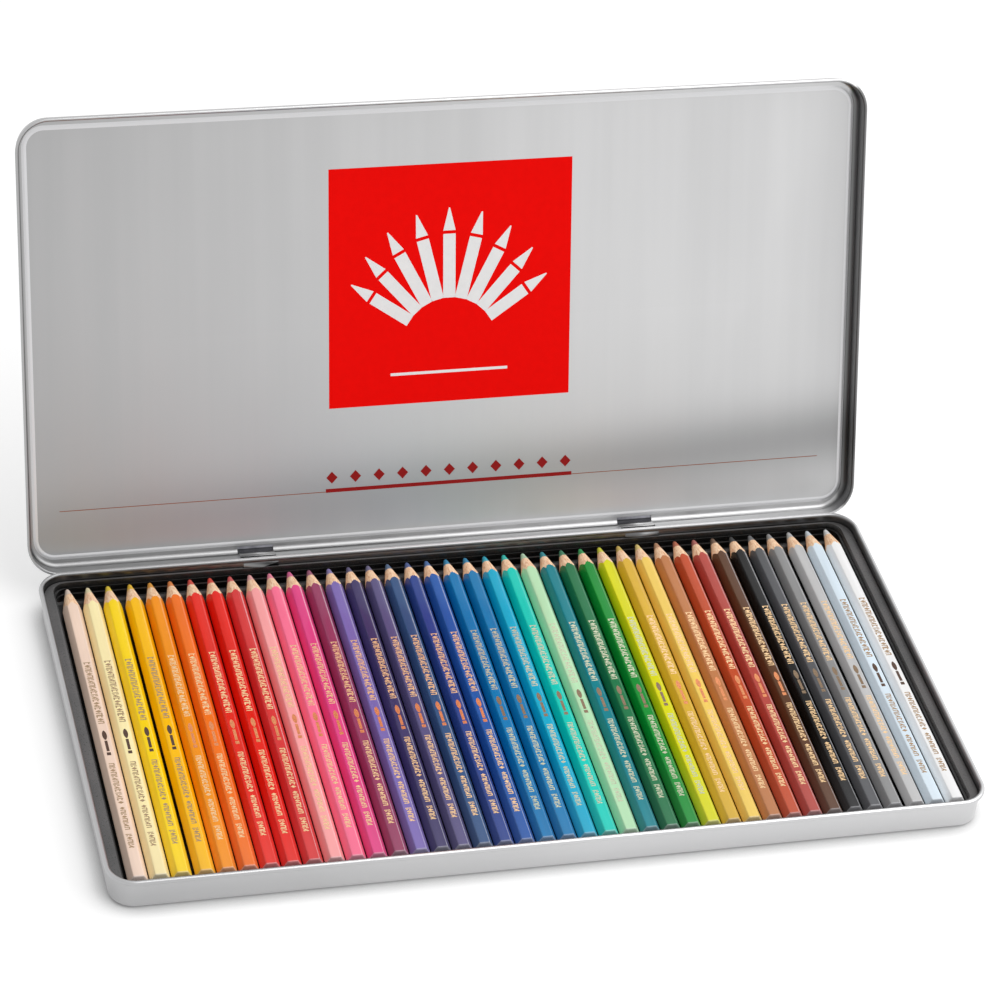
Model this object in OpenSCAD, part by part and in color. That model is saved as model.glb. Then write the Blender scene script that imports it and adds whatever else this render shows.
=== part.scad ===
// Flat hinged pencil tin: a tinplate base and lid, a moulded insert and a row of
// coloured pencils. The origin is the middle of the underside, +Y is the hinge side
// and the pencils point that way. The lid is drawn open.

/* [Tin] */
// Height from the table to the top of the rolled rim
tin_h = 14.5; // [14:0.1:18]
// Radius of the upright corners, outside
corner_r = 9.75; // [7:0.05:12]
// Thickness of the tinplate
sheet = 0.4; // [0.3:0.05:0.5]
// Outer radius of the rolled rim
rim_r = 1.05; // [0.9:0.05:1.2]
// Outer radius of the bend between floor and wall
floor_bend_r = 2; // [1.2:0.1:3]

/* [Lid] */
// Depth of the lid over its top face and rolled edge
lid_h = 8.5; // [8:0.1:9]
// Gap between the lid's skirt and the rolled rim on every side
lid_play = 0.85; // [0.7:0.05:1.2]
// Outer radius of the bend between the lid's face and skirt
lid_bend_r = 2.2; // [1.2:0.1:3]
// Outer radius of the lid's rolled edge
lid_edge_r = 0.7; // [0.6:0.05:0.8]
// Angle that the lid stands open from closed
open_angle = 110; // [60:1:112]

/* [Hinge] */
// Distance of each hinge tongue from the middle of the tin
tongue_x = 81.6; // [60:0.1:120]
// Width of each hinge tongue
tongue_w = 14.5; // [10:0.1:18]
// Thickness of the tongue strip
tongue_t = 0.5; // [0.4:0.05:0.6]
// Distance of the hinge axis behind the closed lid's skirt
axis_out = 1.95; // [1.9:0.05:2.2]
// Height of the hinge axis above the closed lid's edge
axis_up = 2.4; // [2.3:0.05:2.6]
// Radius of the hinge pin
pin_r = 0.8; // [0.7:0.05:0.85]

/* [Insert] */
// Height of the insert's border above the table
border_z = 11; // [10.5:0.1:12.5]
// Height of the bed that the pencils lie on
bed_z = 5.4; // [4.5:0.1:5.8]
// Width of the border at the two sides
side_border = 3.9; // [3:0.1:5]
// Width of the step inside each side border
side_step = 1.1; // [0.8:0.1:2]
// Length of the wells behind and in front of the bed
well_length = 5.3; // [4.5:0.1:8]
// Thickness of the insert's walls
insert_wall = 0.8; // [0.6:0.1:1]

/* [Pencils] */
// Overall length of a pencil
pencil_length = 174.2; // [120:0.1:190]
// Width of a pencil across its flats
pencil_flats = 6.9; // [6.5:0.05:7.4]
// Diameter of the coloured core
core_d = 3.5; // [3:0.1:4]
// Radius of the worn point
point_r = 0.7; // [0.4:0.05:0.8]
// Rise of the sharpened cone from point to full width, per mm of length
cone_slope = 0.23; // [0.18:0.005:0.26]
// Gap between two neighbouring pencils
pencil_gap = 0.32; // [0.3:0.01:0.6]
// Extra space where the row has been pushed apart
row_slack = 0.68; // [0:0.02:1]

/* [Hidden] */
$fn = 64;

// one small running clearance is used for every loose fit
clearance = 0.3;
// overlap that makes two solids of one piece join into one
joined = 0.1;
// cuts run this far past the face that they open
past = 1;

// the row of hexagonal pencils, flat side up
pencil_corners = pencil_flats / cos(30);
pencil_count = 40;
pencil_pitch = pencil_corners + pencil_gap;
slack_after = [3, 37];
row_w = pencil_count * pencil_pitch - pencil_gap + len(slack_after) * row_slack;
core_r = core_d / 2;
// the glue line round the core
glue = 0.05;
end_cap = 1.2;
end_chamfer = 0.4;

// the insert's inside is made to hold the row, to the next tenth of a millimetre
row_play = 1;
point_gap = 2.15;
end_gap = 0.85;
rear_border = 0.9;
front_border = 2.8;
bed_w = ceil(10 * (row_w + 2 * row_play)) / 10;
inner_w = bed_w + 2 * side_step;
inner_d = pencil_length + point_gap + end_gap;
insert_w = inner_w + 2 * side_border;
insert_d = inner_d + rear_border + front_border;

// the tin is made to hold the insert
tin_w = insert_w + 2 * (clearance + sheet);
tin_d = insert_d + 2 * (clearance + sheet);

// the rolled rim stands out this far from the wall
rim_out = 2 * rim_r - sheet;
lid_margin = rim_out + lid_play + sheet;
lid_w = tin_w + 2 * lid_margin;
lid_d = tin_d + 2 * lid_margin;
lid_corner_r = corner_r + lid_margin;
// closed, the lid's face lies just above the rolled rim
lid_edge_z = tin_h + clearance + sheet - lid_h;
axis_y = lid_d / 2 + axis_out;
axis_z = lid_edge_z + axis_up;

// hinge: the eye of the tongue turns on the pin between two cheeks of the leaf
pin_play = 0.1;
eye_in_r = pin_r + pin_play;
eye_r = eye_in_r + tongue_t;
strip_drop = 1.6;
notch_w = tongue_w + 2 * clearance;
cheek_t = 1.2;
cheek_wall = 0.4;
cheek_r = pin_r + cheek_wall;
notch_rise = 1;
notch_top_z = axis_z + notch_rise;
strap_gap = 0.6;
strap_top_drop = 2;
slot_reach = 3;
slot_drop = 1.8;
// the leaf is a bent strip that closes the slot from outside and carries the pin
leaf_t = 0.4;
leaf_gap = 0.05;
leaf_reach = 4.6;
leaf_w = notch_w + 2 * cheek_t;

// levels and corners of the insert
insert_corner_r = corner_r - sheet - clearance;
inner_rear_r = 6;
inner_front_r = 3.2;
pocket_front_r = 1.8;
foot_chamfer = floor_bend_r - sheet;
chamfer_band = 3;
well_z = sheet + foot_chamfer;
step_drop = 2.8;
end_step = 0.3;
step_z = border_z - step_drop;
inner_rear = insert_d / 2 - rear_border;
inner_front = inner_rear - inner_d;
inner_middle = (inner_front + inner_rear) / 2;
bed_rear = inner_rear - well_length;
bed_front = inner_front + well_length;
bed_d = bed_rear - bed_front;

// the pencils lie with their points to the rear
pencil_end_y = inner_rear - point_gap - pencil_length;
pencil_z = bed_z + pencil_flats / 2;

function pencil_x(number) =
    -row_w / 2 + pencil_corners / 2 + (number - 1) * pencil_pitch
    + (number > slack_after[0] ? row_slack : 0)
    + (number > slack_after[1] ? row_slack : 0);

// A section swept round a rounded rectangle. The section's x runs outward from the
// centre of the corner arcs and its y runs upward.
module swept_round(w, d, r) {
    for (quarter = [0 : 3]) {
        sides_along_x = quarter % 2 == 0;
        reach = (sides_along_x ? w : d) / 2 - r;
        span = (sides_along_x ? d : w) - 2 * r;
        rotate([0, 0, 90 * quarter]) {
            translate([reach, 0, 0])
                rotate([90, 0, 0])
                linear_extrude(span, center = true)
                children();
            translate([reach, span / 2, 0])
                rotate_extrude(angle = 90)
                children();
        }
    }
}

// Quarter of a ring in the plane, centred on the origin, from the +x side down
module bend_section(outer_r, thickness) {
    intersection() {
        difference() {
            circle(outer_r);
            circle(outer_r - thickness);
        }
        translate([0, -outer_r])
            square(outer_r);
    }
}

// Three quarters of a ring, open on the side towards the wall and the floor
module curl_section(outer_r, thickness) {
    difference() {
        circle(outer_r);
        circle(outer_r - thickness);
        translate([-outer_r, -outer_r])
            square(outer_r);
    }
}

// Section of a pan's floor, bend, wall and rolled rim, from its corner centre
module pan_section(wall_r, height, bend_r, curl_r) {
    square([wall_r - bend_r, sheet]);
    translate([wall_r - bend_r, bend_r])
        bend_section(bend_r, sheet);
    translate([wall_r - sheet, bend_r])
        square([sheet, height - curl_r - bend_r]);
    translate([wall_r - sheet + curl_r, height - curl_r])
        curl_section(curl_r, sheet);
}

// A shallow pan of sheet metal standing on z = 0 with its open side up
module sheet_pan(w, d, r, height, bend_r, curl_r) {
    swept_round(w, d, r)
        pan_section(r, height, bend_r, curl_r);
    middle_w = w - 2 * (r - joined);
    middle_d = d - 2 * (r - joined);
    translate([-middle_w / 2, -middle_d / 2, 0])
        cube([middle_w, middle_d, sheet]);
}

// Block standing on z = 0 with its own corner radius at the rear and at the front
module rounded_block(w, d, height, rear_r, front_r) {
    straight_d = d - rear_r - front_r;
    linear_extrude(height)
        union() {
            square([w - 2 * rear_r, d], center = true);
            translate([-w / 2 + front_r, -d / 2])
                square([w - 2 * front_r, d - rear_r]);
            translate([-w / 2, -d / 2 + front_r])
                square([w, straight_d]);
            for (side = [-1, 1]) {
                translate([side * (w / 2 - rear_r), d / 2 - rear_r])
                    circle(rear_r);
                translate([side * (w / 2 - front_r), -d / 2 + front_r])
                    circle(front_r);
            }
        }
}

module at_tongues() {
    for (side = [-1, 1])
        translate([side * tongue_x, 0, 0])
            children();
}

// Strip inside the rear wall, blade through the wall and eye round the hinge axis
module hinge_tongue() {
    wall_in = tin_d / 2 - sheet;
    blade_z = axis_z - eye_r;
    strip_top = tin_h - strip_drop;
    translate([-tongue_w / 2, wall_in - tongue_t, blade_z])
        cube([tongue_w, tongue_t + joined, strip_top - blade_z]);
    translate([-tongue_w / 2, wall_in - tongue_t, blade_z])
        cube([tongue_w, axis_y - wall_in + tongue_t, tongue_t]);
    translate([0, axis_y, axis_z])
        rotate([0, 90, 0])
        difference() {
            cylinder(r = eye_r, h = tongue_w, center = true);
            cylinder(r = eye_in_r, h = tongue_w + past, center = true);
        }
}

module base_shell() {
    color("silver")
    union() {
        sheet_pan(tin_w, tin_d, corner_r, tin_h, floor_bend_r, rim_r);
        at_tongues()
            hinge_tongue();
    }
}

// Section of the leaf from the lid's face round the bend and down the skirt
module leaf_section() {
    skirt_out = lid_d / 2 + leaf_gap;
    face_out = lid_edge_z + lid_h + leaf_gap;
    bend_y = lid_d / 2 - lid_bend_r;
    bend_z = lid_edge_z + lid_h - lid_bend_r;
    bend_in_r = lid_bend_r + leaf_gap;
    translate([lid_d / 2 - leaf_reach, face_out])
        square([leaf_reach - lid_bend_r, leaf_t]);
    translate([skirt_out, notch_top_z])
        square([leaf_t, bend_z - notch_top_z]);
    translate([bend_y, bend_z])
        mirror([0, 1])
        bend_section(bend_in_r + leaf_t, leaf_t);
}

// Bent strip on the outside of the lid with two cheeks and the hinge pin
module hinge_leaf() {
    skirt_out = lid_d / 2 + leaf_gap;
    rotate([90, 0, 90])
        linear_extrude(leaf_w, center = true)
        leaf_section();
    for (side = [-1, 1])
        translate([side * (notch_w + cheek_t) / 2, 0, 0])
            rotate([90, 0, 90])
            linear_extrude(cheek_t, center = true)
            union() {
                translate([axis_y, axis_z])
                    circle(cheek_r);
                translate([skirt_out, axis_z - cheek_r])
                    square([axis_y - skirt_out, 2 * cheek_r]);
                translate([skirt_out, axis_z])
                    square([leaf_t, notch_top_z - axis_z + joined]);
            }
    translate([0, axis_y, axis_z])
        rotate([0, 90, 0])
        cylinder(r = pin_r, h = notch_w + cheek_t, center = true);
}

// Notch for the tongue, room for the cheeks in the rolled edge, and the slot
module hinge_cuts() {
    skirt_in = lid_d / 2 - sheet;
    face_z = lid_edge_z + lid_h;
    cheeks_w = leaf_w + 2 * clearance;
    translate([-notch_w / 2, skirt_in - past, lid_edge_z - past])
        cube([notch_w, 2 * (lid_edge_r + past), notch_top_z - lid_edge_z + past]);
    translate([-cheeks_w / 2, lid_d / 2, lid_edge_z - past])
        cube([cheeks_w, 2 * lid_edge_r, notch_top_z - lid_edge_z + past]);
    translate([-notch_w / 2, lid_d / 2 - slot_reach, face_z - slot_drop])
        cube([notch_w, slot_reach + past, slot_drop + past]);
}

// Doubled strap inside the skirt between the notch and the slot
module hinge_strap() {
    skirt_in = lid_d / 2 - sheet;
    strap_z = notch_top_z + strap_gap;
    strap_top = lid_edge_z + lid_h - strap_top_drop;
    translate([-tongue_w / 2, skirt_in - tongue_t, strap_z])
        cube([tongue_w, tongue_t + joined, strap_top - strap_z]);
}

// The lid as it lies closed on the tin
module closed_lid() {
    difference() {
        translate([0, 0, lid_edge_z + lid_h])
            mirror([0, 0, 1])
            sheet_pan(lid_w, lid_d, lid_corner_r, lid_h, lid_bend_r, lid_edge_r);
        at_tongues()
            hinge_cuts();
    }
    at_tongues()
        hinge_strap();
}

// Turns what is drawn closed round the hinge axis to the open lid's place
module opened() {
    translate([0, axis_y, axis_z])
        rotate([-open_angle, 0, 0])
        translate([0, -axis_y, -axis_z])
        children();
}

module lid_shell() {
    color("silver")
    opened()
        closed_lid();
}

module hinge_leaves() {
    color("dimgray")
    opened()
        at_tongues()
        hinge_leaf();
}

// Block with rounded corners and a chamfered foot that clears the tin's bend
module insert_block() {
    band_in_r = insert_corner_r - chamfer_band;
    inset = chamfer_band - joined;
    swept_round(insert_w, insert_d, insert_corner_r)
        polygon([
            [band_in_r, sheet],
            [insert_corner_r - foot_chamfer, sheet],
            [insert_corner_r, sheet + foot_chamfer],
            [insert_corner_r, border_z],
            [band_in_r, border_z]
        ]);
    translate([0, 0, sheet])
        rounded_block(
            insert_w - 2 * inset,
            insert_d - 2 * inset,
            border_z - sheet,
            insert_corner_r - inset,
            insert_corner_r - inset
        );
}

// Opening inside the border, and the narrower pocket below the step
module insert_pockets() {
    translate([0, inner_middle, step_z])
        rounded_block(
            inner_w,
            inner_d,
            border_z - step_z + past,
            inner_rear_r,
            inner_front_r
        );
    translate([0, inner_middle, well_z])
        rounded_block(
            bed_w,
            inner_d - 2 * end_step,
            step_z - well_z + past,
            inner_rear_r - end_step,
            pocket_front_r
        );
}

// Hollow under the bed and under each side border
module insert_hollows() {
    bed_hollow_w = bed_w - 2 * insert_wall;
    side_hollow_w = side_border - 2 * insert_wall;
    side_hollow_d = insert_d - 2 * insert_corner_r;
    translate([-bed_hollow_w / 2, bed_front + insert_wall, sheet - past])
        cube([
            bed_hollow_w,
            bed_d - 2 * insert_wall,
            bed_z - insert_wall - sheet + past
        ]);
    for (side = [-1, 1])
        translate([
            side * (insert_w - side_border) / 2 - side_hollow_w / 2,
            -side_hollow_d / 2,
            sheet - past
        ])
            cube([
                side_hollow_w,
                side_hollow_d,
                border_z - insert_wall - sheet + past
            ]);
}

// Moulded insert: raised border, a step, the pencils' bed and a well at both ends
module insert_tray() {
    color("#1c1c1e")
    difference() {
        union() {
            difference() {
                insert_block();
                insert_pockets();
            }
            translate([-bed_w / 2 - joined, bed_front, sheet])
                cube([bed_w + 2 * joined, bed_d, bed_z - sheet]);
        }
        insert_hollows();
        // room for the hinge tongues' strips inside the rear wall
        at_tongues()
            translate([-notch_w / 2, insert_d / 2 - tongue_t, sheet - past])
                cube([notch_w, tongue_t + past, border_z - sheet + 2 * past]);
    }
}

// Turned shape along a pencil: chamfered end, straight side, sharpened cone
module turned_pencil(side_r, start, chamfer) {
    cone_length = (side_r - point_r) / cone_slope;
    rotate_extrude()
        polygon([
            [0, start],
            [side_r - chamfer, start],
            [side_r, start + chamfer],
            [side_r, pencil_length - cone_length],
            [point_r, pencil_length],
            [0, pencil_length]
        ]);
}

// Wooden casing with its lacquered end, and the coloured core glued into its bore
module pencil_body() {
    corner_reach = pencil_corners / 2;
    difference() {
        intersection() {
            cylinder(r = corner_reach, h = pencil_length, $fn = 6);
            turned_pencil(corner_reach + joined, 0, end_chamfer);
        }
        translate([0, 0, end_cap])
            cylinder(r = core_r + glue, h = pencil_length);
    }
    turned_pencil(core_r, end_cap + glue, glue);
}

module pencil(number, lacquer) {
    color(lacquer)
    translate([pencil_x(number), pencil_end_y, pencil_z])
        rotate([-90, 0, 0])
        pencil_body();
}

base_shell();
lid_shell();
hinge_leaves();
insert_tray();
pencil(1, "mistyrose");  // pencil_01
pencil(2, "lemonchiffon");  // pencil_02
pencil(3, "yellow");  // pencil_03
pencil(4, "gold");  // pencil_04
pencil(5, "orange");  // pencil_05
pencil(6, "darkorange");  // pencil_06
pencil(7, "orangered");  // pencil_07
pencil(8, "red");  // pencil_08
pencil(9, "crimson");  // pencil_09
pencil(10, "salmon");  // pencil_10
pencil(11, "hotpink");  // pencil_11
pencil(12, "mediumvioletred");  // pencil_12
pencil(13, "brown");  // pencil_13
pencil(14, "rebeccapurple");  // pencil_14
pencil(15, "indigo");  // pencil_15
pencil(16, "slategray");  // pencil_16
pencil(17, "midnightblue");  // pencil_17
pencil(18, "mediumblue");  // pencil_18
pencil(19, "royalblue");  // pencil_19
pencil(20, "steelblue");  // pencil_20
pencil(21, "dodgerblue");  // pencil_21
pencil(22, "deepskyblue");  // pencil_22
pencil(23, "darkturquoise");  // pencil_23
pencil(24, "mediumseagreen");  // pencil_24
pencil(25, "teal");  // pencil_25
pencil(26, "darkgreen");  // pencil_26
pencil(27, "forestgreen");  // pencil_27
pencil(28, "yellowgreen");  // pencil_28
pencil(29, "goldenrod");  // pencil_29
pencil(30, "khaki");  // pencil_30
pencil(31, "peru");  // pencil_31
pencil(32, "sienna");  // pencil_32
pencil(33, "saddlebrown");  // pencil_33
pencil(34, "maroon");  // pencil_34
pencil(35, "black");  // pencil_35
pencil(36, "dimgray");  // pencil_36
pencil(37, "gray");  // pencil_37
pencil(38, "lightgray");  // pencil_38
pencil(39, "lightblue");  // pencil_39
pencil(40, "white");  // pencil_40
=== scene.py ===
import math

import bmesh
import bpy
from mathutils import Color, Matrix, Vector


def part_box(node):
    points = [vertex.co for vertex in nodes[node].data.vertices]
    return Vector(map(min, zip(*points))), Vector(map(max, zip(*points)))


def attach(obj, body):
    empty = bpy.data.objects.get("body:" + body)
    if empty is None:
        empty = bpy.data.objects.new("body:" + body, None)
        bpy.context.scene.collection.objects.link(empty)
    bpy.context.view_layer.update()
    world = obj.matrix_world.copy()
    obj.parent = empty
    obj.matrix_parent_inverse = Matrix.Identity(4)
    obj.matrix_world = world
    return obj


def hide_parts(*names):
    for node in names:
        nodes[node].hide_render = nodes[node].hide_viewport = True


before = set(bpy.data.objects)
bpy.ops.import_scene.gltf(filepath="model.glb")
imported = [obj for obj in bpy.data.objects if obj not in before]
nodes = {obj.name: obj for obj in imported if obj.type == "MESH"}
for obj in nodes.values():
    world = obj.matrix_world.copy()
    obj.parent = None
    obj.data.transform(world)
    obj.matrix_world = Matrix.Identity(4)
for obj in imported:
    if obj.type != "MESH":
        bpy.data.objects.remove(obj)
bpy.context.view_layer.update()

scene = bpy.context.scene

# ---------------------------------------------------------------- sizes, in mm

MM = 0.001

# the lid and its hinge as the part's source has them: y and z are those of the closed lid
SHEET = 0.4
LID_H = 8.5
LID_EDGE_Z = 6.7
FACE_Z = LID_EDGE_Z + LID_H - SHEET
SKIRT_Y = 94.1
AXIS_Y, AXIS_Z = 96.05, 9.10
OPEN = math.radians(-110.0)

RIGHT = (1.0, 0.0, 0.0)
FRONT = (0.0, -1.0, 0.0)
REAR = (0.0, 1.0, 0.0)
UP = (0.0, 0.0, 1.0)

# where the closed lid's rear and its inner face look as it stands open
LID_REAR = (0.0, math.cos(OPEN), math.sin(OPEN))
LID_INSIDE = (0.0, math.sin(OPEN), -math.cos(OPEN))
# the lid's hinge side and its middle measured along LID_REAR, and nearly half of its width, in metres
HINGE_SIDE = (AXIS_Y * math.cos(OPEN) + AXIS_Z * math.sin(OPEN) + SKIRT_Y - AXIS_Y) * MM
LID_MIDDLE = HINGE_SIDE - SKIRT_Y * MM
LID_HALF = 172.0 * MM

# the camera that the photograph's perspective gives: degrees and mm, its reach in metres
CAMERA_AZIMUTH = -17.710
CAMERA_ELEVATION = 37.441
CAMERA_ROLL = 6.670
CAMERA_PLACE = (-385.43, -1171.56, 1050.64)
CAMERA_LENS = 145.34
CAMERA_SENSOR = 36.0
CAMERA_REACH = 20.0

# ---------------------------------------------------------------- small helpers


def linear(value):
    """One sRGB channel from 0 to 255 as a linear value."""
    c = value / 255.0
    return c / 12.92 if c <= 0.04045 else ((c + 0.055) / 1.055) ** 2.4


def rgb(r, g, b):
    return (linear(r), linear(g), linear(b), 1.0)


def srgb_of(hue, saturation, brightness):
    """The sRGB value, 0 to 255, of a hue in degrees and two shares in percent."""
    tone = Color()
    tone.hsv = hue / 360, saturation / 100, brightness / 100
    return [round(255 * channel) for channel in tone]


def toned(colour, factor, lift=0.0):
    """A colour made darker or lighter, no channel above 1."""
    return tuple(min(1.0, c * factor + lift) for c in colour[:3]) + (1.0,)


class Nodes:
    """A material with its node tree, with short names for what is built in it."""

    def __init__(self, name):
        self.mat = bpy.data.materials.new(name)
        self.mat.use_nodes = True
        self.tree = self.mat.node_tree
        self.tree.nodes.clear()
        self.out = self.add("ShaderNodeOutputMaterial")
        self.bsdf = self.add("ShaderNodeBsdfPrincipled")
        self.link(self.bsdf.outputs[0], self.out.inputs["Surface"])

    def add(self, kind, **props):
        node = self.tree.nodes.new(kind)
        for key, value in props.items():
            setattr(node, key, value)
        return node

    def link(self, a, b):
        self.tree.links.new(a, b)

    def coords(self, scale=(1, 1, 1)):
        """The object's own coordinates, stretched along its axes."""
        place = self.add("ShaderNodeTexCoord")
        mapping = self.add("ShaderNodeMapping")
        mapping.inputs["Scale"].default_value = scale
        self.link(place.outputs["Object"], mapping.inputs["Vector"])
        return mapping.outputs["Vector"]

    def noise(self, vector, scale, detail, rough):
        node = self.add("ShaderNodeTexNoise")
        node.inputs["Scale"].default_value = scale
        node.inputs["Detail"].default_value = detail
        node.inputs["Roughness"].default_value = rough
        self.link(vector, node.inputs["Vector"])
        return node.outputs["Fac"]

    def ramp(self, fac, stops):
        """A colour ramp through (place, colour) stops."""
        node = self.add("ShaderNodeValToRGB")
        ramp = node.color_ramp
        while len(ramp.elements) < len(stops):
            ramp.elements.new(0.5)
        for element, (place, colour) in zip(ramp.elements, stops):
            element.position = place
            element.color = colour
        self.link(fac, node.inputs["Fac"])
        return node.outputs["Color"]

    def spread(self, fac, low, high, start=0.3, end=0.7):
        """The value between start and end mapped to between low and high, and held beyond."""
        node = self.add("ShaderNodeMapRange")
        node.inputs["From Min"].default_value = start
        node.inputs["From Max"].default_value = end
        node.inputs["To Min"].default_value = low
        node.inputs["To Max"].default_value = high
        self.link(fac, node.inputs["Value"])
        return node.outputs["Result"]

    def math(self, operation, a, b=None):
        """A maths node; a and b are sockets or plain numbers."""
        node = self.add("ShaderNodeMath", operation=operation)
        for index, value in enumerate((a, b)):
            if isinstance(value, (int, float)):
                node.inputs[index].default_value = value
            elif value is not None:
                self.link(value, node.inputs[index])
        return node.outputs[0]

    def times(self, a, b):
        return self.math("MULTIPLY", a, b)

    def along(self, output, direction):
        """The object's own position ("Object") or "Normal", measured along a direction."""
        place = self.add("ShaderNodeTexCoord")
        dot = self.add("ShaderNodeVectorMath", operation="DOT_PRODUCT")
        self.link(place.outputs[output], dot.inputs[0])
        dot.inputs[1].default_value = direction
        return dot.outputs["Value"]

    def inward(self, direction, centre=0.0):
        """1 on the walls that face the middle along a direction, 0 elsewhere."""
        side = self.math("SIGN", self.math("SUBTRACT", self.along("Object", direction), centre))
        facing = self.times(self.times(side, self.along("Normal", direction)), -1.0)
        return self.math("MINIMUM", self.math("MAXIMUM", facing, 0.0), 1.0)

    def scaled(self, colour, factor):
        node = self.add("ShaderNodeVectorMath", operation="SCALE")
        self.link(colour, node.inputs[0])
        self.link(factor, node.inputs["Scale"])
        return node.outputs[0]

    def bump(self, height, strength, distance):
        node = self.add("ShaderNodeBump")
        node.inputs["Strength"].default_value = strength
        node.inputs["Distance"].default_value = distance
        self.link(height, node.inputs["Height"])
        self.link(node.outputs["Normal"], self.bsdf.inputs["Normal"])

    def base_colour(self, socket):
        self.link(socket, self.bsdf.inputs["Base Color"])

    def roughness(self, socket):
        self.link(socket, self.bsdf.inputs["Roughness"])

    def set(self, **values):
        """Plain values on the shader; an underscore stands for a space in an input's name."""
        for key, value in values.items():
            self.bsdf.inputs[key.replace("_", " ")].default_value = value


def seen_directly(tree):
    """Two sockets: 1 on camera rays, and 1 on camera, glossy and transmission rays."""
    path = tree.nodes.new("ShaderNodeLightPath")
    camera_ray = path.outputs["Is Camera Ray"]
    seen = camera_ray
    for kind in ("Is Glossy Ray", "Is Transmission Ray"):
        either = tree.nodes.new("ShaderNodeMath")
        either.operation = "MAXIMUM"
        tree.links.new(seen, either.inputs[0])
        tree.links.new(path.outputs[kind], either.inputs[1])
        seen = either.outputs[0]
    return camera_ray, seen


def new_piece(name, bm, materials, body):
    """The mesh as a piece that rides on a body, with its materials."""
    mesh = bpy.data.meshes.new(name)
    bm.normal_update()
    bm.to_mesh(mesh)
    bm.free()
    piece = bpy.data.objects.new(name, mesh)
    scene.collection.objects.link(piece)
    for material in materials:
        mesh.materials.append(material)
    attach(piece, body)
    return piece


def box_shape(x0, x1, y0, y1):
    """The corners of a rectangle."""
    return [(x0, y0), (x1, y0), (x1, y1), (x0, y1)]


def bar(x, y, width, height):
    """The corners of a rectangle about its middle."""
    return box_shape(x - width / 2, x + width / 2, y - height / 2, y + height / 2)


# ---------------------------------------------------------------- camera


def set_camera():
    az = math.radians(CAMERA_AZIMUTH)
    el = math.radians(CAMERA_ELEVATION)
    roll = math.radians(CAMERA_ROLL)
    back = Vector((math.sin(az) * math.cos(el), -math.cos(az) * math.cos(el), math.sin(el)))
    side = Vector((math.cos(az), math.sin(az), 0.0))
    upward = back.cross(side)
    right = math.cos(roll) * side + math.sin(roll) * upward
    up = math.cos(roll) * upward - math.sin(roll) * side
    place = Matrix((right, up, back)).transposed().to_4x4()
    place.translation = Vector(CAMERA_PLACE) * MM
    data = bpy.data.cameras.new("camera")
    data.sensor_width = CAMERA_SENSOR
    data.lens = CAMERA_LENS
    data.clip_end = CAMERA_REACH
    camera = bpy.data.objects.new("camera", data)
    camera.matrix_world = place
    scene.collection.objects.link(camera)
    scene.camera = camera


# ---------------------------------------------------------------- painted light and shade on the tinplate
# each gives a function that takes the material and returns a factor on its tone, which paints light and
# shade into it


def across(direction, start, end, at_start, at_end):
    """A painted light gradient: a tone that changes evenly along a direction, between two places in metres.
    """
    return lambda m: m.spread(m.along("Object", direction), at_start, at_end, start, end)


def painted_shade_inner_walls(direction, factor, centre=0.0):
    """A darker tone painted as shade on the walls that face the middle."""
    return lambda m: m.spread(m.inward(direction, centre), 1.0, factor, 0.0, 0.8)


def painted_shade_sunk_flat(below, factor):
    """A darker tone painted as shade on level faces just under a height, not on the floor."""
    def shade(m):
        level = m.spread(m.along("Normal", UP), 0.0, 1.0, 0.6, 0.9)
        height = m.along("Object", UP)
        sunk = m.times(m.spread(height, 1.0, 0.0, below - 0.2 * MM, below),
                       m.spread(height, 0.0, 1.0, 4.0 * MM, 6.0 * MM))
        return m.spread(m.times(level, sunk), 1.0, factor, 0.0, 1.0)
    return shade


def painted_shade_side_valley(start, end, factor):
    """A darker tone painted as shade between the pressed ridge and the right-hand skirt, inside only."""
    def shade(m):
        near = m.spread(m.along("Object", RIGHT), 0.0, 1.0, start, end)
        inside = m.spread(m.along("Normal", LID_INSIDE), 0.0, 1.0, 0.0, 0.6)
        return m.spread(m.times(near, inside), 1.0, factor, 0.0, 1.0)
    return shade


def painted_shade_low_band(width, left, right, strength_left, strength_right):
    """A soft darker band painted as shade across the inside of the lid, nearer to its hinge on the left.

    left and right are the band's distances from the hinge side at the lid's two ends.
    """
    def shade(m):
        x = m.along("Object", RIGHT)
        away = m.math("SUBTRACT", HINGE_SIDE, m.along("Object", LID_REAR))
        offset = m.math("SUBTRACT", away, m.spread(x, left, right, -LID_HALF, LID_HALF))
        scaled = m.math("DIVIDE", offset, width)
        bell = m.math("EXPONENT", m.times(m.times(scaled, scaled), -1.0))
        depth = m.spread(x, strength_left, strength_right, -LID_HALF, LID_HALF)
        inside = m.spread(m.along("Normal", LID_INSIDE), 0.0, 1.0, -0.6, -0.2)
        return m.math("SUBTRACT", 1.0, m.times(m.times(bell, depth), inside))
    return shade


# ---------------------------------------------------------------- materials


def tinplate(name, tone, streak_scale, painted_shades):
    """Satin tinplate: fine drawn streaks, faint mottling and a soft sheen; its tone is scaled by painted
    light and shade.
    """
    m = Nodes(name)
    m.set(Metallic=1.0)
    streaks = m.noise(m.coords(streak_scale), scale=60.0, detail=3.0, rough=0.6)
    cloud = m.noise(m.coords(), scale=9.0, detail=3.0, rough=0.5)
    mix = m.add("ShaderNodeMix", data_type="FLOAT")
    mix.inputs[0].default_value = 0.4
    m.link(streaks, mix.inputs[2])
    m.link(cloud, mix.inputs[3])
    colour = m.ramp(mix.outputs[0], [(0.35, toned(tone, 0.95)), (0.65, toned(tone, 1.04))])
    # painted light and shade scale the tone
    for shade in painted_shades:
        colour = m.scaled(colour, shade(m))
    m.base_colour(colour)
    m.roughness(m.spread(streaks, 0.28, 0.40))
    m.bump(streaks, 0.12, 0.04 * MM)
    return m.mat


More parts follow.
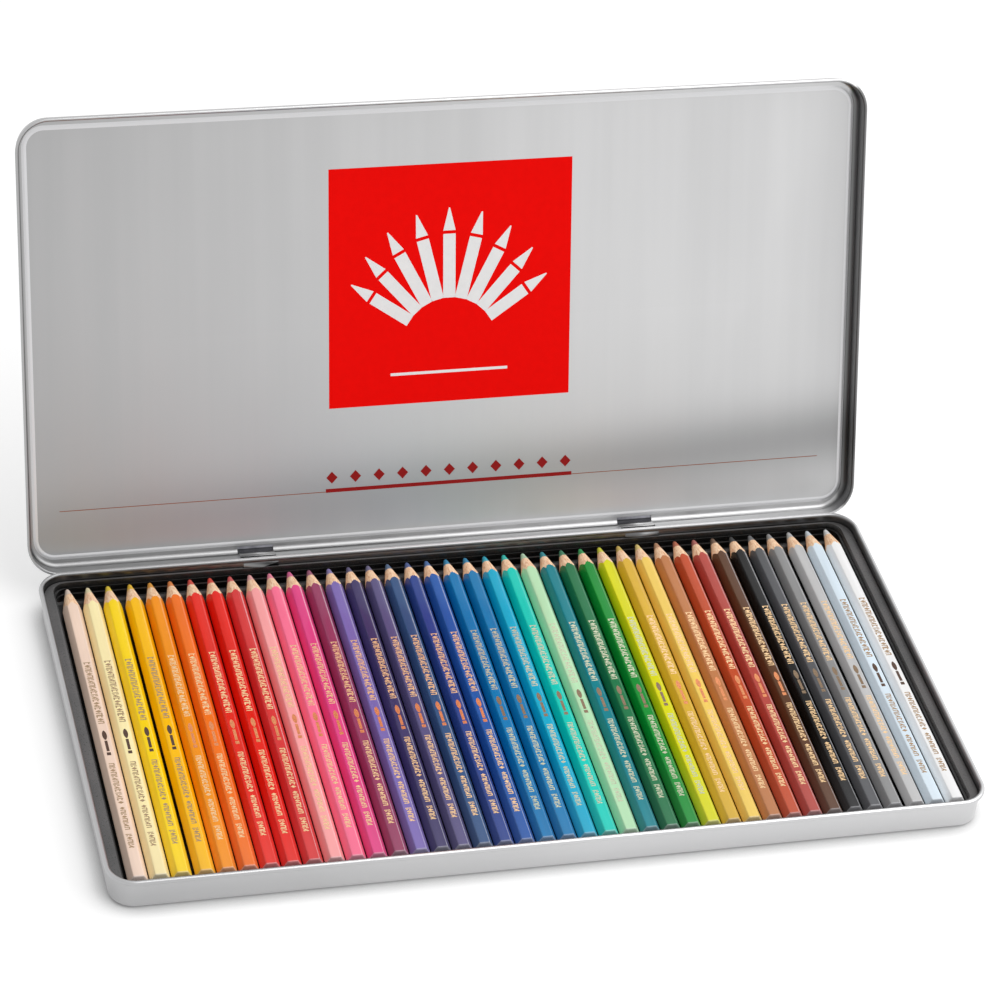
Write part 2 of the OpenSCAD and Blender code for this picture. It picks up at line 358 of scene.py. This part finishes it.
def steel_with_painted_shade(name):
    """Strip steel of the hinge leaves, painted near-black as shade near the hinge side, where the leaves
    show through the lid's slots, and in a plain steel tone where a leaf lies flat.
    """
    m = Nodes(name)
    m.set(Metallic=1.0)
    stain = m.noise(m.coords(), scale=180.0, detail=4.0, rough=0.6)
    # near-black tone: painted shade for the slots; twelve times lighter where a leaf lies flat
    colour = m.ramp(stain, [(0.3, (0.020, 0.020, 0.022, 1)), (0.7, (0.045, 0.045, 0.050, 1))])
    away = m.math("SUBTRACT", HINGE_SIDE, m.along("Object", LID_REAR))
    m.base_colour(m.scaled(colour, m.spread(away, 1.0, 12.0, 1.7 * MM, 2.1 * MM)))
    m.roughness(m.spread(stain, 0.38, 0.55))
    return m.mat


def moulded_black(name):
    """Thin black moulded plastic with a fine grain; painted light greys its upper flange, painted shade
    darkens its walls that face the front, and a painted highlight lies along the bed's rear edge.
    """
    m = Nodes(name)
    grain = m.noise(m.coords(), scale=2600.0, detail=2.0, rough=0.5)
    cloud = m.noise(m.coords(), scale=40.0, detail=3.0, rough=0.5)
    colour = m.ramp(cloud, [(0.3, (0.007, 0.007, 0.007, 1)), (0.7, (0.013, 0.012, 0.012, 1))])
    height = m.along("Object", UP)
    # painted light on the upper flange, painted shade on the walls facing the front, a painted highlight
    # line on the bed's rear edge
    painted_light_border = m.spread(height, 1.0, 8.0, 8.3 * MM, 8.9 * MM)
    painted_shade_rear_wall = m.spread(m.along("Normal", FRONT), 1.0, 0.12, 0.3, 0.7)
    painted_highlight_bed_edge = m.times(m.spread(height, 0.0, 1.0, 5.0 * MM, 5.3 * MM),
                       m.spread(height, 1.0, 0.0, 5.5 * MM, 5.8 * MM))
    at_rear = m.spread(m.along("Object", REAR), 0.0, 10.0, 82.0 * MM, 83.0 * MM)
    factor = m.math("ADD", m.times(painted_light_border, painted_shade_rear_wall), m.times(painted_highlight_bed_edge, at_rear))
    m.base_colour(m.scaled(colour, factor))
    m.roughness(m.spread(grain, 0.24, 0.40))
    m.set(IOR=1.55)
    m.bump(grain, 0.25, 0.03 * MM)
    return m.mat


def lacquer(name, colour, sheen):
    """Glossy lacquer over wood, slightly uneven, with a painted highlight along the rounded right-hand
    edges and on the front end.
    """
    m = Nodes(name)
    wave = m.noise(m.coords(), scale=900.0, detail=3.0, rough=0.6)
    tone = m.noise(m.coords((1, 0.08, 1)), scale=260.0, detail=2.0, rough=0.5)
    body = m.ramp(tone, [(0.3, toned(colour, 0.92)), (0.7, toned(colour, 1.04))])
    # painted highlight: the base colour turns whitish on the rounded right-hand edges and on the front end
    turned = m.along("Normal", RIGHT)
    rise = m.spread(turned, 0.0, 1.0, 0.06, 0.20)
    drop = m.spread(turned, 1.0, 0.0, 0.48, 0.66)
    edge = m.times(m.times(rise, drop), m.spread(wave, sheen * 0.5, sheen))
    end = m.spread(m.along("Normal", FRONT), 0.0, 0.30, 0.08, 0.40)
    mix = m.add("ShaderNodeMix", data_type="RGBA")
    m.link(m.math("MAXIMUM", edge, end), mix.inputs[0])
    m.link(body, mix.inputs[6])
    mix.inputs[7].default_value = (0.86, 0.86, 0.90, 1.0)
    m.base_colour(mix.outputs[2])
    m.roughness(m.spread(wave, 0.28, 0.40))
    m.set(Specular_IOR_Level=0.30, Specular_Tint=toned(colour, 0.88, 0.12),
          Coat_Weight=0.24, Coat_Roughness=0.10)
    m.bump(wave, 0.22, 0.05 * MM)
    return m.mat


def cedar(name):
    """Sharpened cedar: pale brown with long grain and fine turning marks."""
    m = Nodes(name)
    grain = m.noise(m.coords((1, 0.05, 1)), scale=1500.0, detail=4.0, rough=0.65)
    turned = m.noise(m.coords((0.08, 1, 0.08)), scale=3500.0, detail=2.0, rough=0.5)
    m.base_colour(m.ramp(grain, [(0.28, rgb(214, 156, 114)), (0.5, rgb(245, 207, 170)),
                                 (0.72, rgb(255, 233, 204))]))
    m.set(Roughness=0.7, Specular_IOR_Level=0.3)
    m.bump(turned, 0.35, 0.05 * MM)
    return m.mat


def waxy_core(name, colour):
    """Waxy coloured core, rubbed lengthwise."""
    m = Nodes(name)
    rub = m.noise(m.coords((0.3, 1, 0.3)), scale=2600.0, detail=3.0, rough=0.6)
    m.base_colour(m.ramp(rub, [(0.3, toned(colour, 0.8)), (0.7, toned(colour, 1.08, 0.01))]))
    m.roughness(m.spread(rub, 0.42, 0.62))
    m.bump(rub, 0.3, 0.05 * MM)
    return m.mat


def stamped_foil(name, colour, metallic):
    """Hot-stamped foil, slightly broken up."""
    m = Nodes(name)
    wear = m.noise(m.coords(), scale=3200.0, detail=3.0, rough=0.6)
    m.base_colour(m.ramp(wear, [(0.3, toned(colour, 0.6)), (0.6, colour)]))
    m.roughness(m.spread(wear, 0.25, 0.5))
    m.set(Metallic=metallic)
    return m.mat


def printed_ink(name, colour, lift=1.04):
    """Flat printed ink, nearly without a reflection."""
    m = Nodes(name)
    cloud = m.noise(m.coords(), scale=300.0, detail=3.0, rough=0.5)
    m.base_colour(m.ramp(cloud, [(0.3, toned(colour, 0.96)), (0.7, toned(colour, lift))]))
    m.roughness(m.spread(cloud, 0.42, 0.5))
    m.set(Specular_IOR_Level=0.04)
    return m.mat


# ---------------------------------------------------------------- foil marks of the pencils

STROKE = 0.46
SIGN_KINDS = 5
# each run of signs: where it starts and ends, its pitch, its height and its first sign
SIGN_RUNS = (
    (37.3, 0.2, 1.62, 2.75, 0), (-23.3, -45.4, 1.68, 2.45, 2),
    (-48.4, -60.0, 1.62, 2.2, 1), (-63.6, -70.6, 1.62, 2.4, 3),
)
BRUSH_HEAD_Y, BRUSH_HEAD_HALF, BRUSH_HEAD_R = -6.6, 2.8, 0.92
BRUSH_HEAD_STEPS = 12
# middle, width and length of the brush's handle and of its short end
BRUSH_HANDLE = (0, -12.9, 1.15, 6.2)
BRUSH_END = (0, -17.5, 1.6, 1.7)


def sign(kind, y, tall):
    """One made-up sign, as outlines: strokes across and along the facet."""
    half = tall / 2
    if kind == 0:
        return [bar(0, y, tall, STROKE),
                bar(half * 0.55, y - 0.62, STROKE, 0.8),
                bar(-half * 0.75, y - 0.62, STROKE, 0.8)]
    if kind == 1:
        return [bar(0, y, tall * 0.9, STROKE),
                bar(0, y - 1.1, tall * 0.9, STROKE),
                bar(half * 0.75, y - 0.55, STROKE, 0.66)]
    if kind == 2:
        return [[(-half, y + 0.2), (-half * 0.2, y + 0.3), (half, y - 0.9), (half * 0.3, y - 1.1)],
                bar(-half * 0.55, y - 0.75, half * 0.8, STROKE)]
    if kind == 3:
        return [[(0, y - 1.25), (half * 0.95, y - 0.5), (0, y + 0.25), (-half * 0.95, y - 0.5)]]
    return [bar(-half * 0.1, y - 0.1, tall * 0.95, STROKE),
            bar(half * 0.5, y - 0.85, half * 0.9, STROKE),
            bar(-half * 0.6, y - 0.85, half * 0.6, STROKE)]


def sign_runs():
    """All runs along the top facet, as (x, y) outlines: x from the pencil's middle, y the tin's."""
    outlines = []
    for start, end, pitch, tall, first in SIGN_RUNS:
        y, index = start, first
        while y > end:
            outlines += sign((index * 3 + index // 4) % SIGN_KINDS, y, tall)
            y -= pitch
            index += 1
    return outlines


def brush_mark():
    """A plain brush: a drop for its head, a bar for its handle and a short end."""
    head = []
    for step in range(BRUSH_HEAD_STEPS + 1):
        turn = math.pi * step / BRUSH_HEAD_STEPS
        head.append((BRUSH_HEAD_R * math.sin(turn) ** 1.3, BRUSH_HEAD_Y + BRUSH_HEAD_HALF * math.cos(turn)))
    head += [(-x, y) for x, y in reversed(head[1:-1])]
    return [head, bar(*BRUSH_HANDLE), bar(*BRUSH_END)]


SIGNS = sign_runs()
BRUSH = brush_mark()

# ---------------------------------------------------------------- the pencils

# the forty lacquers from left to right, judged in steps of five: hue in degrees, then
# saturation and brightness in percent
LACQUERS = {
    "shell": (25, 20, 95), "cream": (45, 30, 100), "lemon": (50, 95, 100),
    "golden_yellow": (45, 100, 100), "light_orange": (35, 95, 95), "orange": (25, 90, 95),
    "scarlet": (5, 90, 90), "vermilion": (5, 95, 90), "carmine": (0, 75, 85),
    "salmon": (0, 35, 100), "pink": (345, 55, 100), "rose": (335, 70, 90),
    "burgundy": (335, 60, 60), "lilac": (255, 40, 70), "violet": (250, 45, 40),
    "grey_violet": (250, 35, 50), "night_blue": (215, 60, 50), "ultramarine": (225, 70, 55),
    "sapphire": (215, 80, 65), "cyan_blue": (200, 100, 70), "azure": (200, 95, 70),
    "turquoise_blue": (190, 100, 80), "turquoise": (175, 100, 80), "mint": (120, 20, 90),
    "teal": (185, 100, 55), "dark_green": (150, 80, 45), "grass_green": (140, 100, 55),
    "lime": (60, 95, 85), "ochre": (45, 75, 85), "straw": (45, 60, 95),
    "light_brown": (25, 60, 75), "russet": (15, 80, 75), "brick": (5, 65, 70),
    "brown": (25, 65, 35), "black": (0, 0, 5), "dark_grey": (220, 5, 35),
    "grey": (0, 0, 55), "light_grey": (0, 0, 75), "ice_blue": (205, 10, 95),
    "white": (0, 0, 95),
}
# pencils with brown foil, with dull foil, with a bronze brush, and with a stronger painted highlight on the
# right edge
PALE_PENCILS = {1, 2, 3, 4, 39, 40}
COOL_PENCILS = set(range(20, 29))
GREY_PENCILS = set(range(35, 39))
SHEEN_PENCILS = set(range(9, 20)) | set(range(32, 38))
STRONG_SHEEN, WEAK_SHEEN = 0.48, 0.14
# a core is a duller tone of its lacquer
CORE_SHARE, CORE_LIFT = 0.70, 56

FLATS = 6.9
CORNERS = FLATS / math.cos(math.radians(30))
CORE_R = 1.75
POINT_R = 0.7
SLOPE = 0.23
EDGE_R = 0.5
EDGE_STEPS = 4
FLAT_STEPS = 8
# the rounded front end: how far a ring is drawn in, and how far it lies from the end
END_ROUNDING = ((2.4, 0.0), (0.9, 0.0), (0.44, 0.02), (0.21, 0.12), (0.06, 0.30), (0.0, 0.52))
# the lacquer's scalloped edge: its waves as (height, turn per point, turn per pencil), how far
# behind it the last full ring lies, the lacquer's thickness and where bare wood starts
SCALLOP_WAVES = ((0.22, 3.1, 1.7), (0.16, 7.3, 1.0))
LACQUER_BACK = 0.55
LACQUER_T = 0.04
WOOD_START = 0.1
CONE_STEPS = 5
RAGGED = 0.3
# radii of the core's rings, and the worn point as (radius, distance from the tip)
CORE_RINGS = (1.4, 1.05, 0.85)
POINT_ROUNDING = ((0.69, 0.36), (0.55, 0.15), (0.30, 0.04))
FOIL_LIFT = 0.012
SHARP_ANGLE = 50


def hex_ring():
    """Rounded hexagon, flat side up, as (x, z) pairs going round."""
    inner = (CORNERS / 2) - EDGE_R / math.cos(math.radians(30))
    points = []
    for corner in range(6):
        turn = math.radians(60 * corner)
        cx, cz = inner * math.cos(turn), inner * math.sin(turn)
        for step in range(EDGE_STEPS):
            a = turn + math.radians(-30 + 60 * step / (EDGE_STEPS - 1))
            points.append((cx + EDGE_R * math.cos(a), cz + EDGE_R * math.sin(a)))
        following = math.radians(60 * (corner + 1))
        a = turn + math.radians(30)
        x0, z0 = cx + EDGE_R * math.cos(a), cz + EDGE_R * math.sin(a)
        nx, nz = inner * math.cos(following), inner * math.sin(following)
        x1, z1 = nx + EDGE_R * math.cos(a), nz + EDGE_R * math.sin(a)
        for step in range(1, FLAT_STEPS):
            t = step / FLAT_STEPS
            points.append((x0 + (x1 - x0) * t, z0 + (z1 - z0) * t))
    return points


RING = hex_ring()
RADII = [math.hypot(x, z) for x, z in RING]


def make_pencil(number, materials):
    """One pencil: lacquered casing, bare cone, core and foil, in the order of its materials."""
    node = "pencil_%02d" % number
    low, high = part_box(node)
    low, high = low / MM, high / MM
    cx, cz = (low.x + high.x) / 2, (low.z + high.z) / 2
    end, tip = low.y, high.y
    bm = bmesh.new()

    def ring(places):
        """Vertices from a (factor on the hexagon, y) pair for each point of the ring."""
        return [bm.verts.new(((cx + x * k) * MM, y * MM, (cz + z * k) * MM))
                for (x, z), (k, y) in zip(RING, places)]

    def bridge(a, b, index):
        for i in range(len(RING)):
            j = (i + 1) % len(RING)
            face = bm.faces.new((a[i], a[j], b[j], b[i]))
            face.material_index = index
            face.smooth = True

    rows = [ring([(max(0.0, (r - drawn_in) / r), end + away) for r in RADII])
            for drawn_in, away in END_ROUNDING]
    bm.faces.new(rows[0]).material_index = 0

    scallop = []
    for i, r in enumerate(RADII):
        wobble = sum(h * math.sin(a * i + b * number) for h, a, b in SCALLOP_WAVES)
        scallop.append(tip - (r - POINT_R) / SLOPE + wobble)
    rows.append(ring([(1.0, y - LACQUER_BACK) for y in scallop]))
    rows.append(ring([(1 - LACQUER_T / r, y) for r, y in zip(RADII, scallop)]))
    for a, b in zip(rows, rows[1:]):
        bridge(a, b, 0)

    core_y = tip - (CORE_R - POINT_R) / SLOPE
    last = rows[-1]
    for step in range(1, CONE_STEPS + 1):
        places = []
        for (x, z), r, edge_y in zip(RING, RADII, scallop):
            wave = math.sin(2.3 * (x * 3.1 + z * 2.2) + number)
            ragged = RAGGED * wave if step == CONE_STEPS else 0.0
            start = edge_y + WOOD_START
            y = start + (core_y + ragged - start) * step / CONE_STEPS
            places.append(((POINT_R + (tip - y) * SLOPE) / r, y))
        row = ring(places)
        bridge(last, row, 1)
        last = row

    core = [(radius, (radius - POINT_R) / SLOPE) for radius in CORE_RINGS]
    for radius, back in core + list(POINT_ROUNDING):
        row = ring([(radius / r, tip - back) for r in RADII])
        bridge(last, row, 2)
        last = row
    top = bm.verts.new((cx * MM, tip * MM, cz * MM))
    for i in range(len(RING)):
        face = bm.faces.new((last[i], last[(i + 1) % len(RING)], top))
        face.material_index = 2
        face.smooth = True

    level = (cz + FLATS / 2 + FOIL_LIFT) * MM
    for index, outlines in ((3, SIGNS), (4, BRUSH)):
        for outline in outlines:
            face = bm.faces.new([bm.verts.new(((cx + x) * MM, y * MM, level)) for x, y in outline])
            face.material_index = index
            face.normal_update()
            if face.normal.z < 0:
                face.normal_flip()
    bmesh.ops.recalc_face_normals(bm, faces=[f for f in bm.faces if f.material_index < 3])
    piece = new_piece(node + "_detail", bm, materials, node)
    piece.data.set_sharp_from_angle(angle=math.radians(SHARP_ANGLE))
    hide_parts(node)


def make_pencils():
    wood = cedar("cedar")
    gold = stamped_foil("foil_gold", rgb(255, 216, 164), 0.55)
    dull = stamped_foil("foil_dull_gold", rgb(209, 214, 184), 0.55)
    brown = stamped_foil("foil_brown", rgb(180, 148, 112), 0.3)
    copper = stamped_foil("foil_copper", rgb(238, 152, 100), 0.55)
    bronze = stamped_foil("foil_bronze", rgb(146, 122, 96), 0.45)
    deep = stamped_foil("foil_deep_brown", rgb(84, 56, 40), 0.2)
    for number, tone in enumerate(LACQUERS.values(), 1):
        colour = srgb_of(*tone)
        sheen = STRONG_SHEEN if number in SHEEN_PENCILS else WEAK_SHEEN
        body = lacquer("lacquer_%02d" % number, rgb(*colour), sheen)
        core = waxy_core("core_%02d" % number, rgb(*[int(c * CORE_SHARE + CORE_LIFT) for c in colour]))
        signs, brush = gold, copper
        if number in PALE_PENCILS:
            signs, brush = brown, deep
        elif number in COOL_PENCILS:
            signs, brush = dull, bronze
        elif number in GREY_PENCILS:
            brush = bronze
        make_pencil(number, [body, wood, core, signs, brush])


# ---------------------------------------------------------------- tin and insert

WELD = 0.002 * MM
CURVE_ANGLE = 32
BEVEL_ANGLE = 40


def dressed_copy(node, name, material, body, bevel=0.0):
    """The node's own shape as a new piece, welded, with smooth curves and crisp edges."""
    bm = bmesh.new()
    bm.from_mesh(nodes[node].data)
    bmesh.ops.remove_doubles(bm, verts=bm.verts, dist=WELD)
    for face in bm.faces:
        face.smooth = True
        face.material_index = 0
    piece = new_piece(name, bm, [material], body)
    piece.data.set_sharp_from_angle(angle=math.radians(CURVE_ANGLE))
    if bevel:
        edge = piece.modifiers.new("edges", "BEVEL")
        edge.width = bevel
        edge.segments = 2
        edge.limit_method = "ANGLE"
        edge.angle_limit = math.radians(BEVEL_ANGLE)
        edge.harden_normals = True
    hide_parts(node)


def make_tin():
    # painted light and shade on the tinplate: lighter and darker gradients, and darker inner walls, flats,
    # valley and band
    base = tinplate("tinplate_base", (0.52, 0.52, 0.525), (0.03, 1, 1), [
        across(RIGHT, -160 * MM, 20 * MM, 0.88, 1.10),
        across(UP, 1 * MM, 12 * MM, 0.94, 1.04),
        painted_shade_sunk_flat(13.7 * MM, 0.22),
        painted_shade_inner_walls(RIGHT, 0.30),
        painted_shade_inner_walls(REAR, 0.30)])
    lid = tinplate("tinplate_lid", (0.52, 0.52, 0.523), (1, 0.03, 0.03), [
        across(RIGHT, -160 * MM, 70 * MM, 0.86, 1.20),
        across(UP, 20 * MM, 100 * MM, 0.92, 1.02),
        painted_shade_low_band(15 * MM, 15 * MM, 34 * MM, 0.12, 0.42),
        painted_shade_side_valley(171.2 * MM, 172.8 * MM, 0.36),
        painted_shade_inner_walls(RIGHT, 0.28),
        painted_shade_inner_walls(LID_REAR, 0.68, LID_MIDDLE)])
    steel = steel_with_painted_shade("hinge_steel")
    plastic = moulded_black("insert_plastic")
    dressed_copy("base_shell", "base_detail", base, "base")
    dressed_copy("lid_shell", "lid_detail", lid, "lid")
    dressed_copy("hinge_leaves", "hinge_leaf_detail", steel, "lid", 0.1 * MM)
    dressed_copy("insert_tray", "insert_detail", plastic, "tray", 0.25 * MM)


# ---------------------------------------------------------------- print and ridge in the lid

# the lid's inner face has x from the middle and s from the skirt at its hinge side
PANEL = [(-49.97, 59.75), (52.10, 59.75), (52.60, 160.57), (-49.58, 160.57)]
PANEL_X, FAN_S = 0.8, 84
FAN_COUNT = 9
FAN_FIRST, FAN_TURN = -56, 14
FAN_INNER, FAN_REACH, FAN_WAVE = 20, 52, 6
BODY_HALF, POINT_HALF = 2.6, 0.25
BODY_BACK, TIP_BACK = 11, 9.6
DIAMONDS, DIAMOND_PITCH, DIAMOND_R = 11, 10.0, (2.4, 2.6)
DIAMOND_X, DIAMOND_S = -49.0, 30.0
PANEL_LINE = (-24.0, 25.6, 72.0, 73.2)
ROW_LINE = (-51.6, 53.8, 23.6, 25.2)
RULES = ((-162.43, -51.6, 23.8, 24.1), (53.8, 162.46, 23.8, 24.1))
# the inks lie on each other: how far each lies above the sheet
PANEL_LIFT, ROW_LIFT, MOTIF_LIFT = 0.02, 0.03, 0.04

RIDGE_INSET = 4.5
RIDGE_HALF = 1.0
RIDGE_H = 0.08
RIDGE_CORNER = 8.0
RIDGE_LIFT = 0.004
RIDGE_STEPS = 12
RIDGE_PROFILE = 8


def lid_point(x, s, lift):
    """A point over the lid's inner face as it stands open, in metres."""
    dy = SKIRT_Y - s - AXIS_Y
    dz = FACE_Z - lift - AXIS_Z
    y = AXIS_Y + dy * math.cos(OPEN) - dz * math.sin(OPEN)
    z = AXIS_Z + dy * math.sin(OPEN) + dz * math.cos(OPEN)
    return Vector((x * MM, y * MM, z * MM))


def flat_print(name, shapes, material, lift):
    """Printed areas, each a list of (x, s) corners, as a thin layer on the face."""
    bm = bmesh.new()
    normal = lid_point(0, 0, 1.0) - lid_point(0, 0, 0.0)
    for shape in shapes:
        face = bm.faces.new([bm.verts.new(lid_point(x, s, lift)) for x, s in shape])
        face.normal_update()
        if face.normal.dot(normal) < 0:
            face.normal_flip()
    bmesh.ops.triangulate(bm, faces=bm.faces)
    new_piece(name, bm, [material], "lid")


def fan():
    """Generic pencils that rise like a fan, each a body and a point."""
    shapes = []
    for index in range(FAN_COUNT):
        turn = math.radians(FAN_FIRST + FAN_TURN * index)
        reach = FAN_REACH + FAN_WAVE * math.cos(turn * 2)
        c, s = math.cos(turn), math.sin(turn)
        for start, end, end_half in ((FAN_INNER, reach - BODY_BACK, BODY_HALF),
                                     (reach - TIP_BACK, reach, POINT_HALF)):
            corners = ((start, -BODY_HALF), (start, BODY_HALF), (end, end_half), (end, -end_half))
            shapes.append([(PANEL_X + r * s + w * c, FAN_S + r * c - w * s) for r, w in corners])
    return shapes


def diamonds():
    """A row of small diamonds."""
    rx, rs = DIAMOND_R
    row = []
    for index in range(DIAMONDS):
        x = DIAMOND_X + DIAMOND_PITCH * index
        row.append([(x, DIAMOND_S - rs), (x + rx, DIAMOND_S), (x, DIAMOND_S + rs), (x - rx, DIAMOND_S)])
    return row


def make_print():
    red = printed_ink("print_red", rgb(252, 10, 6), 1.0)
    white = printed_ink("print_white", rgb(246, 246, 246), 1.0)
    deep = printed_ink("print_deep_red", rgb(150, 32, 32))
    flat_print("print_panel", [PANEL], red, PANEL_LIFT)
    flat_print("print_motif", fan() + [box_shape(*PANEL_LINE)], white, MOTIF_LIFT)
    flat_print("print_row", diamonds() + [box_shape(*ROW_LINE)], deep, ROW_LIFT)
    brown = printed_ink("print_brown", rgb(150, 92, 66))
    flat_print("print_rules", [box_shape(*rule) for rule in RULES], brown, ROW_LIFT)


def lid_bead():
    """The low ridge pressed into the lid, all the way round its inner face."""
    low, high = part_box("lid_shell")
    arc_x = high.x / MM - RIDGE_INSET - RIDGE_CORNER
    arc_near = RIDGE_INSET + RIDGE_CORNER
    arc_far = 2 * SKIRT_Y - RIDGE_INSET - RIDGE_CORNER
    corners = ((arc_x, arc_far, 0), (-arc_x, arc_far, 90), (-arc_x, arc_near, 180), (arc_x, arc_near, 270))
    bm = bmesh.new()
    rings = []
    for cx, cs, first in corners:
        for step in range(RIDGE_STEPS + 1):
            turn = math.radians(first + 90 * step / RIDGE_STEPS)
            out_x, out_s = math.cos(turn), math.sin(turn)
            ring = []
            for place in range(RIDGE_PROFILE + 1):
                t = -1 + 2 * place / RIDGE_PROFILE
                away = RIDGE_CORNER + RIDGE_HALF * t
                lift = RIDGE_LIFT + RIDGE_H * (0.5 + 0.5 * math.cos(math.pi * t))
                ring.append(bm.verts.new(lid_point(cx + away * out_x, cs + away * out_s, lift)))
            rings.append(ring)
    for a, b in zip(rings, rings[1:] + rings[:1]):
        for i in range(RIDGE_PROFILE):
            face = bm.faces.new((a[i], a[i + 1], b[i + 1], b[i]))
            face.smooth = True
    normal = lid_point(0, 0, 1.0) - lid_point(0, 0, 0.0)
    bmesh.ops.recalc_face_normals(bm, faces=bm.faces)
    if sum(face.normal.dot(normal) for face in bm.faces) < 0:
        bmesh.ops.reverse_faces(bm, faces=bm.faces)
    new_piece("lid_bead", bm, [bpy.data.materials["tinplate_lid"]], "lid")


# ---------------------------------------------------------------- studio

# places and sizes in metres, power in watts
WHITE = (1.0, 1.0, 1.0, 1.0)
WORLD_LIGHT = 0.55
FLOOR_HALF = 6
FLOOR_Z = -0.0002
FLOOR_GLOW = 0.48
CONTACT_REACH = 9 * MM
KEY_PLACE = (1.20, -0.40, 1.80)
KEY_SIZE = 2.5
KEY_POWER = 40


def make_world():
    """Plain light all round, and pure white where it is seen."""
    world = bpy.data.worlds.new("studio")
    scene.world = world
    world.use_nodes = True
    tree = world.node_tree
    tree.nodes.clear()
    out = tree.nodes.new("ShaderNodeOutputWorld")
    mix = tree.nodes.new("ShaderNodeMixShader")
    for socket, strength in ((1, WORLD_LIGHT), (2, 1.0)):
        background = tree.nodes.new("ShaderNodeBackground")
        background.inputs["Color"].default_value = WHITE
        background.inputs["Strength"].default_value = strength
        tree.links.new(background.outputs[0], mix.inputs[socket])
    _, seen = seen_directly(tree)
    tree.links.new(seen, mix.inputs["Fac"])
    tree.links.new(mix.outputs[0], out.inputs["Surface"])


def floor_white():
    """Floor that is white where it is seen, with soft shadows and a close contact shade."""
    m = Nodes("floor_white")
    cloud = m.noise(m.coords(), scale=3.0, detail=2.0, rough=0.5)
    m.base_colour(m.ramp(cloud, [(0.3, (0.62, 0.62, 0.62, 1)), (0.7, (0.64, 0.64, 0.64, 1))]))
    m.set(Roughness=0.9, Specular_IOR_Level=0.0)
    glow = m.add("ShaderNodeEmission")
    glow.inputs["Color"].default_value = WHITE
    camera_ray, seen = seen_directly(m.tree)
    near = m.add("ShaderNodeAmbientOcclusion", samples=8)
    near.inputs["Distance"].default_value = CONTACT_REACH
    shade = m.math("SUBTRACT", 1.0, m.spread(near.outputs["AO"], 0.08, 1.0, 0.46, 0.92))
    bare = m.math("SUBTRACT", 1.0, m.times(camera_ray, shade))
    m.link(m.times(m.times(seen, bare), FLOOR_GLOW), glow.inputs["Strength"])
    both = m.add("ShaderNodeAddShader")
    m.link(m.bsdf.outputs[0], both.inputs[0])
    m.link(glow.outputs[0], both.inputs[1])
    m.link(both.outputs[0], m.out.inputs["Surface"])
    return m.mat


def make_floor():
    bm = bmesh.new()
    corners = box_shape(-FLOOR_HALF, FLOOR_HALF, -FLOOR_HALF, FLOOR_HALF)
    bm.faces.new([bm.verts.new((x, y, FLOOR_Z)) for x, y in corners])
    mesh = bpy.data.meshes.new("floor")
    bm.to_mesh(mesh)
    bm.free()
    mesh.materials.append(floor_white())
    floor = bpy.data.objects.new("floor", mesh)
    scene.collection.objects.link(floor)


def make_key():
    """One large soft lamp from the right."""
    data = bpy.data.lights.new("key", "AREA")
    data.shape = "RECTANGLE"
    data.size = KEY_SIZE
    data.size_y = KEY_SIZE
    data.energy = KEY_POWER
    lamp = bpy.data.objects.new("key", data)
    lamp.location = KEY_PLACE
    lamp.rotation_euler = Vector(KEY_PLACE).to_track_quat("Z", "Y").to_euler()
    scene.collection.objects.link(lamp)


scene.view_settings.view_transform = "Standard"
set_camera()
make_tin()
make_pencils()
make_print()
lid_bead()
make_world()
make_floor()
make_key()
